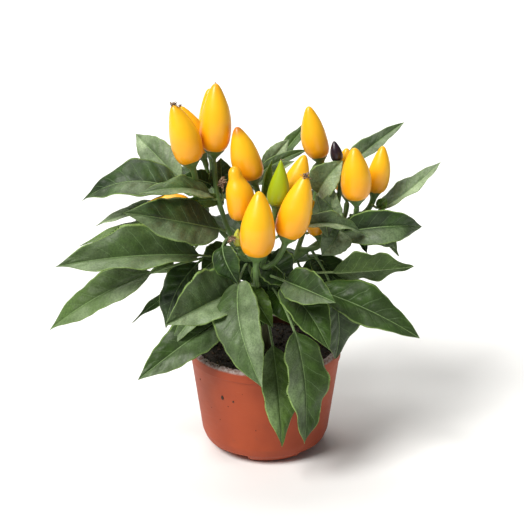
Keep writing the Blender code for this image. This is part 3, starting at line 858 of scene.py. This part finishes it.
def pod_object(node, material, blush):
    """A pod with slight lobes, dents and a bend, from its calyx to its point."""
    base, tip, radius = pod_frame(node)
    rng = random.Random(seed_of(node))
    shape = np.array(SHAPE_OF.get(node, POD_SHAPE))
    along = 0.5 - 0.5 * np.cos(math.pi * np.linspace(0, 1, POD_ROWS))
    wide = np.interp(along, shape[:, 0], shape[:, 1])
    wide = np.convolve(np.pad(wide, 2, mode="edge"), SOFTENING, mode="valid")
    wide[0] = shape[0, 1]
    # The last row is the point itself, which is added after the rows.
    along, wide = along[:-1, None], wide[:-1, None]
    lobes = rng.choice((2, 3, 3))
    phase, bend = rng.uniform(0, math.tau), rng.uniform(0, math.tau)
    lobed = 1 + 0.022 * np.cos(lobes * POD_ANGLES + phase) * (1 - along)
    dent = 1 + 0.02 * np.sin(9 * along + phase) * np.cos(POD_ANGLES + bend)
    axis = tip - base
    x, y = frame_of(axis)
    bow = POD_BOW * np.sin(math.pi * along)
    centre = base + along * axis + bow * (x * math.cos(bend) + y * math.sin(bend))
    points = centre[:, None, :] + (radius * wide * lobed * dent)[..., None] * ways_round(axis)
    points = np.vstack([points.reshape(-1, 3), [tip]])
    attributes = {
        "along": np.append(np.repeat(along, POD_SIDES), 1.0),
        "blush": np.full(len(points), blush),
    }
    return new_object(f"{node}_skin", points, pointed_faces(len(along), POD_SIDES), material, attributes)


def calyx_points(node):
    """Rings of the small green cup that holds a pod, from its stalk to its toothed lip and back inside."""
    base, tip, radius = pod_frame(node)
    axis = unit(tip - base)
    ways = ways_round(axis)
    rng = random.Random(seed_of(node) + 5)
    depth = min(CALYX_DEPTH, radius * 0.5)
    mouth = radius * 0.64
    phase = rng.uniform(0, math.tau)
    tooth = TOOTH_HEIGHT * (0.5 + 0.5 * np.cos(CALYX_TEETH * POD_ANGLES + phase))
    waist = 1 + 0.03 * np.cos(CALYX_TEETH * POD_ANGLES + phase + 1.0)
    rings = []
    for height, share in CALYX_PROFILE:
        rise = depth * height + tooth * (height > 0.2)
        rings.append(base + axis * rise[:, None] + (mouth * share * waist)[:, None] * ways)
    rings.append(base + axis * depth * 0.1 + mouth * 0.9 * ways)
    return rings


def make_pods(paints):
    points, faces = [], []
    for node in sorted(NODES):
        if not node.startswith("pod_"):
            continue
        slot = SLOT_OF[node]
        piece = pod_object(node, paints[slot], POD_BLUSH.get(node, PLAIN_BLUSH))
        part_of_plant(piece, slot, node)
        rings = calyx_points(node)
        first = len(points)
        for ring in rings:
            points.extend(ring)
        faces += capped_faces(len(rings), POD_SIDES, first)
    part_of_plant(new_object("calyces", points, faces, paints["stem"]), "stem")


SHRED_ROWS = 7
SHRED_THICKNESS = 0.32 * MM

# Withered flowers: the pod whose tip each clings to or a place in millimetres, its size in millimetres,
# how many shreds it has, and the way they point. One with a few shreds is a bare dry style.
WITHERED = (
    ("pod_far_left", 4.2, 12, (-0.4, -0.3, 1.0)),
    ("pod_far_left_rear", 2.6, 6, (-0.3, -0.3, 1.0)),
    ("pod_front_right", 4.6, 22, (0.2, -0.6, 0.5)),
    ((-21.5, -38, 166), 5.0, 20, (-1.0, -0.5, 0.4)),
    ((-29, -14, 196), 6.0, 20, (0.6, -0.6, 0.5)),
    ("pod_left_tall", 3.0, 2, (-1.0, 0.0, 0.4)),
    ("pod_green", 3.6, 2, (0.1, 0.0, 1.0)),
)
MOST_IN_STYLE = 3


def any_way(rng):
    return np.array([rng.uniform(-1, 1) for _ in range(3)])


def shred(points, faces, start, direction, length, width, rng):
    """Adds one crumpled shred of petal: a flat tube that wanders and narrows."""
    x, y = frame_of(direction)
    axis = unit(direction)
    place, first = start, len(points)
    for i in range(SHRED_ROWS):
        t = i / (SHRED_ROWS - 1)
        half = width / 2 * (0.5 + 0.8 * math.sin(math.pi * (0.25 + 0.65 * t))) * (1 - 0.5 * t)
        turn = rng.uniform(-0.9, 0.9)
        flat = (x * math.cos(turn) + y * math.sin(turn)) * half
        thick = (y * math.cos(turn) - x * math.sin(turn)) * SHRED_THICKNESS / 2
        points.extend((place + flat, place + 0.2 * flat + thick, place - flat, place - 0.2 * flat - thick))
        axis = unit(axis + 0.8 * any_way(rng))
        place = place + axis * length / (SHRED_ROWS - 1)
    faces += capped_faces(SHRED_ROWS, 4, first)


def make_withered(material):
    rng = random.Random(23)
    points, faces = [], []
    for place, size, shreds, way in WITHERED:
        centre = pod_frame(place)[1] if isinstance(place, str) else np.array(place) * MM
        way = unit(np.array(way, float))
        style = shreds <= MOST_IN_STYLE
        for _ in range(shreds):
            direction = way + (0.15 if style else 0.75) * any_way(rng)
            width = (0.45 if style else rng.uniform(0.9, 1.9)) * MM
            start = centre - way * 0.4 * MM
            if not style:
                start = start + any_way(rng) * size * 0.22 * MM
            shred(points, faces, start, direction, size * rng.uniform(0.6, 1.1) * MM, width, rng)
    part_of_plant(new_object("withered_flowers", points, faces, material), "stem")


# Stem

STEM_VOXEL = 0.55 * MM


def make_stem(material):
    """The frame's stem with its facets and forks rounded off."""
    points, faces = welded("stem")
    stem = new_object("stem_living", points, faces, material)
    remesh = stem.modifiers.new("remesh", "REMESH")
    remesh.mode = "VOXEL"
    remesh.voxel_size = STEM_VOXEL
    smooth = stem.modifiers.new("smooth", "SMOOTH")
    smooth.factor = 0.5
    smooth.iterations = 6
    made = apply_modifiers(stem)
    made.materials.clear()
    made.materials.append(material)
    part_of_plant(stem, "stem", "stem")
    return stem


# Pot and soil

POT_SIDES = 168
POT_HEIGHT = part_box("pot")[1].z
RIM_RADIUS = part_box("pot")[1].x
SOIL_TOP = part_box("potting_soil")[1].z
SOIL_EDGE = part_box("potting_soil")[1].x
MOUTH_RADIUS = SOIL_EDGE + 0.3 * MM
RIM_BAND = 8 * MM
EDGE_ROUNDING = 0.9 * MM

# The pot's section, as radius and height in millimetres: inside from the middle of its floor, and outside
# from the top of the wall, under the rim's band, to the ground.
POT_INSIDE = ((0, 9), (37, 9), (42, 15))
POT_OUTSIDE = ((44.4, 13), (42.2, 7.5), (38.4, 3.5), (34, 0.6), (33, 0), (0, 0))
# The rim, from its top to the wall: millimetres inwards and down from its outer top corner.
RIM_OUTLINE = ((2.4, 0.1), (0.7, 0.8), (0, 2.6), (0, 8), (0.7, 8.2))

# Four channels between the feet, and a drain hole over each.
CHANNELS = 4
FIRST_CHANNEL = -126.0
CHANNEL_HALF = 19.0
CHANNEL_RADII = (15 * MM, 53 * MM)
CHANNEL_HEIGHT = 7.0 * MM
DRAIN_CIRCLE = 24 * MM
DRAIN_RADIUS = 3.5 * MM
DRAIN_SIDES = 24
DRAIN_TOP = 12 * MM
CUTTER_FOOT = -1 * MM


def turned(name, profile, sides, material):
    """A body turned about Z from (radius, height) points; the axis points are shared."""
    points, faces, rows = [], [], []
    for radius, height in profile:
        if radius == 0:
            rows.append([len(points)] * sides)
            points.append((0, 0, height))
            continue
        rows.append(list(range(len(points), len(points) + sides)))
        points.extend((x, y, height) for x, y in around(radius, sides))
    for row, below in zip(rows, rows[1:]):
        for j in range(sides):
            k = (j + 1) % sides
            face = [row[j], row[k], below[k], below[j]]
            faces.append(tuple(dict.fromkeys(face)))
    body = new_object(name, points, [f for f in faces if len(f) > 2], material)
    facing_out(body)
    return body


def facing_out(obj):
    bm = bmesh.new()
    bm.from_mesh(obj.data)
    bmesh.ops.recalc_face_normals(bm, faces=bm.faces)
    bm.to_mesh(obj.data)
    bm.free()


def rounded(profile, radius, steps=4):
    """The profile with its inner corners replaced by short arcs."""
    made = [profile[0]]
    for before, corner, after in zip(profile, profile[1:], profile[2:]):
        a, b, c = Vector(before), Vector(corner), Vector(after)
        cut = min(radius, (a - b).length * 0.45, (c - b).length * 0.45)
        start, end = b + (a - b).normalized() * cut, b + (c - b).normalized() * cut
        for i in range(steps + 1):
            t = i / steps
            made.append(tuple(start * (1 - t) ** 2 + b * 2 * t * (1 - t) + end * t**2))
    return made + [profile[-1]]


def in_metres(pairs):
    return [(radius * MM, height * MM) for radius, height in pairs]


def make_pot(material):
    rim = [(RIM_RADIUS - inwards, POT_HEIGHT - down) for inwards, down in in_metres(RIM_OUTLINE)]
    mouth = [(MOUTH_RADIUS, POT_HEIGHT - RIM_BAND), (MOUTH_RADIUS, POT_HEIGHT)]
    profile = in_metres(POT_INSIDE) + mouth + rim + in_metres(POT_OUTSIDE)
    pot = turned("pot_shell", rounded(profile, EDGE_ROUNDING), POT_SIDES, material)
    cutters = []
    for i in range(CHANNELS):
        angle = math.radians(FIRST_CHANNEL + 360 / CHANNELS * i)
        cutters.append(channel_cutter(angle, material))
        cutters.append(drain_cutter(angle, material))
    for cutter in cutters:
        facing_out(cutter)
        cut = pot.modifiers.new("cut", "BOOLEAN")
        cut.operation = "DIFFERENCE"
        cut.object = cutter
    bevel = pot.modifiers.new("bevel", "BEVEL")
    bevel.width = 0.5 * MM
    bevel.segments = 2
    bevel.limit_method = "ANGLE"
    bevel.angle_limit = math.radians(40)
    apply_modifiers(pot).set_sharp_from_angle(angle=math.radians(35))
    for cutter in cutters:
        bpy.data.objects.remove(cutter, do_unlink=True)
    part_of_plant(pot, "pot", "pot")


def channel_cutter(angle, material):
    half = math.radians(CHANNEL_HALF)
    inner, outer = CHANNEL_RADII
    corners = [(inner, -half), (outer, -half), (outer, half), (inner, half)]
    outline = [on_circle(radius, angle + aside) for radius, aside in corners]
    return prism("channel_cutter", outline, CHANNEL_HEIGHT, material)


def drain_cutter(angle, material):
    x, y = on_circle(DRAIN_CIRCLE, angle)
    outline = [(x + p, y + q) for p, q in around(DRAIN_RADIUS, DRAIN_SIDES)]
    return prism("drain_cutter", outline, DRAIN_TOP, material)


def prism(name, outline, top, material):
    """A closed upright block on an outline, from under the ground to its top."""
    points = [(x, y, z) for z in (CUTTER_FOOT, top) for x, y in outline]
    return new_object(name, points, capped_faces(2, len(outline)), material)


SOIL_RINGS = 46
SOIL_SIDES = 120
# The soil against the pot's wall, as radius and height in millimetres.
SOIL_FOOT = ((41.7, 15), (36.6, 9.3))
CRUMBS = 900
RIM_CRUMBS = 90
# Dried specks on the pot's wall: direction in degrees, height and size in millimetres.
WALL_SPECKS = (
    (-152, 58, 0.7), (-126, 52, 1.3), (-116, 51, 0.8), (-131, 33, 0.6),
    (-121, 46, 0.5), (-108, 58, 0.5), (-140, 40, 0.5), (-98, 30, 0.5),
)
# Two heights up the wall and the radius at each, in millimetres.
WALL_HEIGHTS, WALL_RADII = (13, 67), (44.4, 51.8)


def icosahedron():
    """(corners, faces) of an icosahedron."""
    golden = (1 + 5**0.5) / 2
    corners = [Vector((a, b * golden, 0)) for a in (-1, 1) for b in (-1, 1)]
    corners += [c.zxy for c in corners] + [c.yzx for c in corners]
    bm = bmesh.new()
    for corner in corners:
        bm.verts.new(corner)
    bm.verts.index_update()
    bmesh.ops.convex_hull(bm, input=bm.verts)
    bmesh.ops.recalc_face_normals(bm, faces=bm.faces)
    faces = [tuple(v.index for v in face.verts) for face in bm.faces]
    bm.free()
    return [corner.normalized() for corner in corners], faces


LUMP_CORNERS, LUMP_FACES = icosahedron()


class Crumbs:
    """Rough lumps in one mesh: icosahedra with their corners pushed about."""

    def __init__(self):
        self.points, self.faces, self.tones = [], [], []

    def add(self, centre, size, rng, tone):
        angle = rng.uniform(0, 6.3)
        axis = Vector((rng.random(), rng.random(), rng.random() + 0.1))
        turn = Matrix.Rotation(angle, 3, axis)
        stretch = Vector((rng.uniform(0.5, 1.5), rng.uniform(0.5, 1.1), rng.uniform(0.4, 0.8)))
        first = len(self.points)
        for corner in LUMP_CORNERS:
            pushed = corner * rng.uniform(0.75, 1.15) * stretch
            self.points.append(Vector(centre) + turn @ pushed * size)
        self.tones += [tone] * len(LUMP_CORNERS)
        self.faces += [tuple(first + i for i in face) for face in LUMP_FACES]


def soil_height(x, y):
    lump = noise.fractal(Vector((x, y, 0.0)) * 90, 0.8, 2.0, 4)
    return SOIL_TOP + lump * 1.3 * MM - 0.6 * MM


def make_soil_bed(material):
    """A lumpy round top, and under it the side against the pot, closed at the bottom."""
    points = []
    for i in range(SOIL_RINGS):
        ring = around(SOIL_EDGE * (i + 1) / SOIL_RINGS, SOIL_SIDES)
        points.extend((x, y, soil_height(x, y)) for x, y in ring)
    wall = [(SOIL_EDGE, POT_HEIGHT - RIM_BAND)] + in_metres(SOIL_FOOT)
    for radius, height in wall:
        points.extend((x, y, height) for x, y in around(radius, SOIL_SIDES))
    middle = len(points)
    points.append((0, 0, soil_height(0, 0)))
    faces = [(a, d, c, b) for a, b, c, d in ring_faces(SOIL_RINGS + len(wall), SOIL_SIDES)]
    faces += [(middle, j, (j + 1) % SOIL_SIDES) for j in range(SOIL_SIDES)]
    faces.append(tuple(range(middle - SOIL_SIDES, middle))[::-1])
    soil = new_object("soil_bed", points, faces, material, {"tone": [0.0] * len(points)})
    part_of_plant(soil, "potting_soil", "potting_soil")


def make_crumbs(material):
    rng = random.Random(11)
    crumbs = Crumbs()
    for _ in range(CRUMBS):
        radius = SOIL_EDGE * math.sqrt(rng.random()) * 0.985
        x, y = on_circle(radius, rng.uniform(0, math.tau))
        size = rng.choice((0.4, 0.5, 0.7, 0.9, 1.2, 1.7)) * MM
        tone = rng.choice((0.0, 0.0, 0.1, 0.3, 0.6, 1.0))
        crumbs.add((x, y, soil_height(x, y) + size * 0.3), size, rng, tone)
    # Spilt on the rim, most of them at the front left.
    for _ in range(RIM_CRUMBS):
        angle = math.radians(rng.gauss(-125, 45))
        radius = rng.uniform(MOUTH_RADIUS + 0.4 * MM, RIM_RADIUS - 0.8 * MM)
        size = rng.choice((0.2, 0.3, 0.45, 0.7)) * MM
        place = (*on_circle(radius, angle), POT_HEIGHT + size * 0.3)
        crumbs.add(place, size, rng, rng.choice((0.0, 0.1, 0.5)))
    for degrees, height, size in WALL_SPECKS:
        radius = np.interp(height, WALL_HEIGHTS, WALL_RADII) * MM
        place = (*on_circle(radius, math.radians(degrees)), height * MM)
        crumbs.add(place, size * MM, rng, 0.15)
    lumps = new_object("soil_crumbs", crumbs.points, crumbs.faces, material, {"tone": crumbs.tones})
    part_of_plant(lumps, "potting_soil")


def make_floor(material):
    half = FLOOR_SIZE / 2
    points = [(-half, -half, 0), (half, -half, 0), (half, half, 0), (-half, half, 0)]
    floor = new_object("floor", points, [(0, 1, 2, 3)], material)


def main():
    make_camera()
    make_studio()
    paints = {
        "leaf": leaf_paint(),
        "stem": stem_paint(),
        "pot": pot_paint(),
        "potting_soil": soil_paint(),
        "withered": withered_paint(),
        # Each pod paint: main colour, deeper colour that is also painted shade towards the calyx, tip
        # colour.
        "pod_ripe": pod_paint("pod_ripe", (0.96, 0.50, 0.010), (0.88, 0.36, 0.004), (0.50, 0.13, 0.02)),
        "pod_green": pod_paint("pod_green", (0.33, 0.43, 0.006), (0.27, 0.34, 0.008), (0.12, 0.20, 0.01)),
        "pod_young": pod_paint("pod_young", (0.50, 0.52, 0.06), (0.38, 0.42, 0.04), (0.20, 0.18, 0.03)),
        "pod_dark": pod_paint("pod_dark", (0.018, 0.008, 0.016), (0.012, 0.006, 0.010), (0.01, 0.01, 0.01)),
    }
    make_floor(floor_paint())
    make_pot(paints["pot"])
    make_soil_bed(paints["potting_soil"])
    make_crumbs(paints["potting_soil"])
    stem = make_stem(paints["stem"])
    stem_tree = BVHTree.FromObject(stem, bpy.context.evaluated_depsgraph_get())
    make_pods(paints)
    make_withered(paints["withered"])
    make_leaves(paints["leaf"], stem_tree)


main()
bpy.context.view_layer.update()
